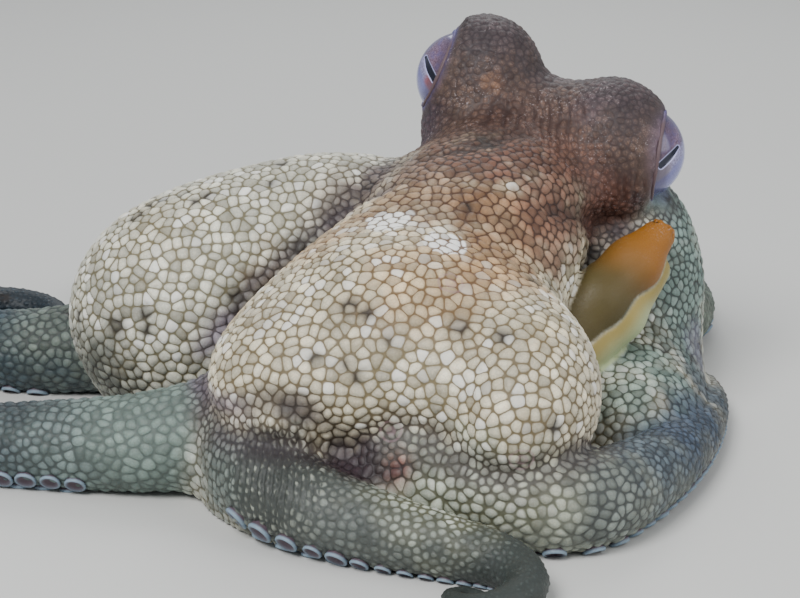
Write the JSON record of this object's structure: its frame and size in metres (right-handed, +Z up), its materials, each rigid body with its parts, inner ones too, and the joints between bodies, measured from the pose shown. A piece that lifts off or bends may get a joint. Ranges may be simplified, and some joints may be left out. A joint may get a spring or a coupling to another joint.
{
  "type": "octopus",
  "caption": "Still life-size model of a common octopus resting on a flat floor, head raised over a drooping mantle, arms curled around it.",
  "frame": {"origin": "middle of the footprint, on the floor that the arms and the web lie on", "axes": "+X the animal's right, +Y the way it faces, +Z up"},
  "size_m": [0.2523, 0.2924, 0.1093],
  "materials": {
    "mantle_skin": "soft satin, reticulated cream cells in brown grooves",
    "head_skin": "soft satin, reddish brown mottling",
    "web_skin": "soft satin, pale cells in olive brown grooves",
    "arm_skin": "soft satin, pale blotches on grey brown",
    "funnel_skin": "moist satin, ochre orange",
    "collar_skin": "moist satin, pale yellow green",
    "eye": "glossy"
  },
  "bodies": {
    "root": {"mantle": "mantle_skin", "head": "head_skin", "web": "web_skin", "funnel": "funnel_skin", "funnel_collar": "collar_skin", "eye_left": "eye", "eye_right": "eye", "arm_left_1_base": "arm_skin", "arm_left_1_mid": "arm_skin", "arm_left_1_tip": "arm_skin", "arm_left_2_base": "arm_skin", "arm_left_2_mid": "arm_skin", "arm_left_2_tip": "arm_skin", "arm_left_3_base": "arm_skin", "arm_left_3_mid": "arm_skin", "arm_left_3_tip": "arm_skin", "arm_left_4_base": "arm_skin", "arm_left_4_mid": "arm_skin", "arm_left_4_tip": "arm_skin", "arm_right_1_base": "arm_skin", "arm_right_1_mid": "arm_skin", "arm_right_1_tip": "arm_skin", "arm_right_2_base": "arm_skin", "arm_right_2_mid": "arm_skin", "arm_right_2_tip": "arm_skin", "arm_right_3_base": "arm_skin", "arm_right_3_mid": "arm_skin", "arm_right_3_tip": "arm_skin", "arm_right_4_base": "arm_skin", "arm_right_4_mid": "arm_skin", "arm_right_4_tip": "arm_skin"}
  },
  "joints": []
}
